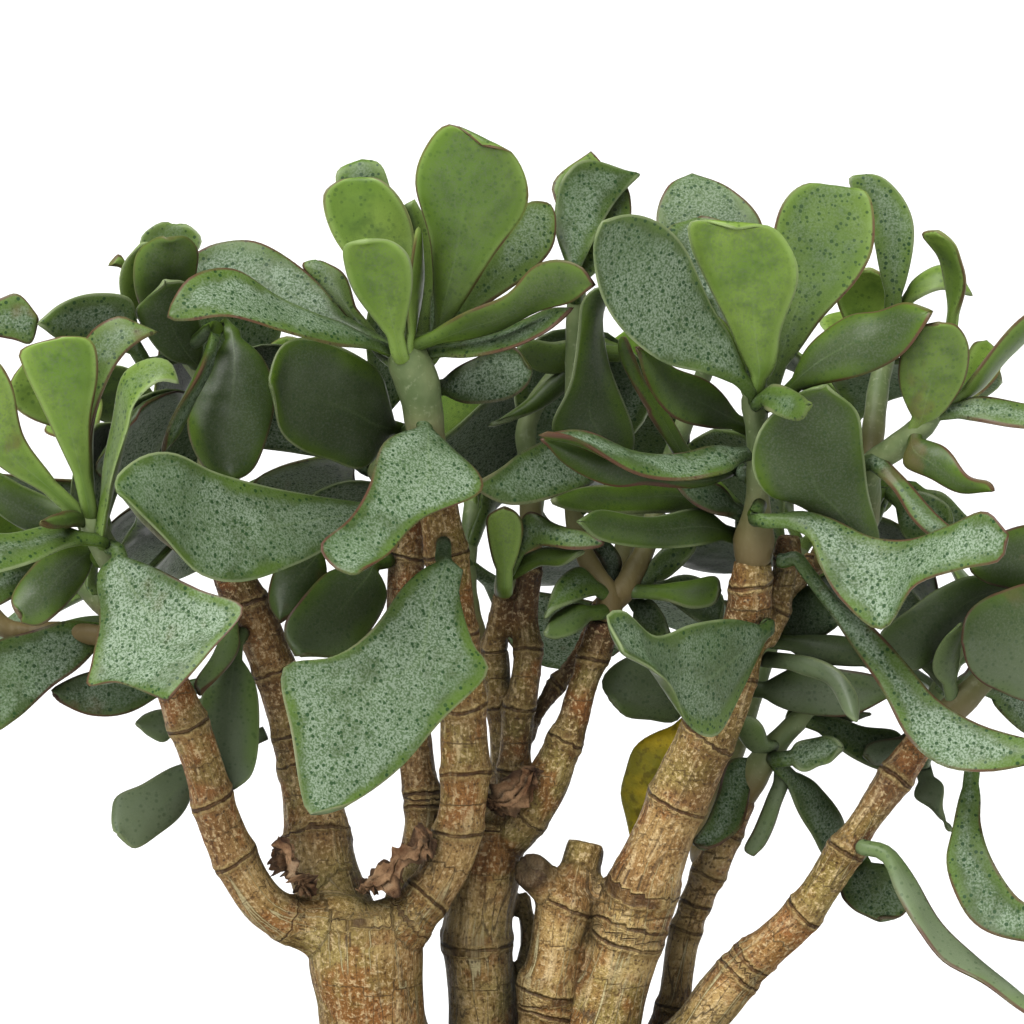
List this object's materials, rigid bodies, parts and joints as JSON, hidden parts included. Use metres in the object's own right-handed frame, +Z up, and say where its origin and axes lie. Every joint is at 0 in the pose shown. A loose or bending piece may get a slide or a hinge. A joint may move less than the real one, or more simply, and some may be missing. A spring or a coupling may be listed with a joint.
{
  "type": "jade bonsai",
  "caption": "Jade plant grown as a bonsai, with bare branching stems and wavy fleshy leaves, in an oval clay pot filled with soil.",
  "frame": {"origin": "centre of the whole plant's box, on the surface that the pot stands on", "axes": "+Z up, X along the pot's length, -Y towards the viewer of the picture"},
  "size_m": [0.2428, 0.1424, 0.2716],
  "materials": {
    "bark": "matte bark",
    "leaf": "waxy bloom",
    "dry_leaf": "dry",
    "yellow_leaf": "waxy",
    "clay": "unglazed",
    "soil": "loose"
  },
  "bodies": {
    "root": {"dry_leaf_1": "dry_leaf", "dry_leaf_2": "dry_leaf", "dry_leaf_3": "dry_leaf", "leaf_10": "leaf", "leaf_11": "leaf", "leaf_17": "leaf", "leaf_18": "leaf", "leaf_23": "leaf", "leaf_25": "leaf", "leaf_26": "leaf", "leaf_27": "leaf", "leaf_28": "leaf", "leaf_29": "leaf", "leaf_3": "leaf", "leaf_30": "leaf", "leaf_31": "leaf", "leaf_32": "leaf", "leaf_37": "leaf", "leaf_38": "leaf", "leaf_39": "leaf", "leaf_40": "leaf", "leaf_41": "leaf", "leaf_7": "leaf", "leaf_9": "leaf", "pot": "clay", "shoot_back_1": "leaf", "shoot_back_10": "leaf", "shoot_back_2": "leaf", "shoot_back_3": "leaf", "shoot_back_4": "leaf", "shoot_back_5": "leaf", "shoot_back_6": "leaf", "shoot_back_7": "leaf", "shoot_back_8": "leaf", "shoot_back_9": "leaf", "shoot_centre_left": "leaf", "shoot_centre_right": "leaf", "shoot_far_left": "leaf", "shoot_far_right": "leaf", "shoot_inner": "leaf", "shoot_inner_top": "leaf", "shoot_left": "leaf", "shoot_left_crown": "leaf", "shoot_low_right": "leaf", "shoot_right_crown": "leaf", "shoot_small_centre": "leaf", "soil": "soil", "trunk": "bark", "yellow_leaf": "yellow_leaf"}
  },
  "joints": []
}
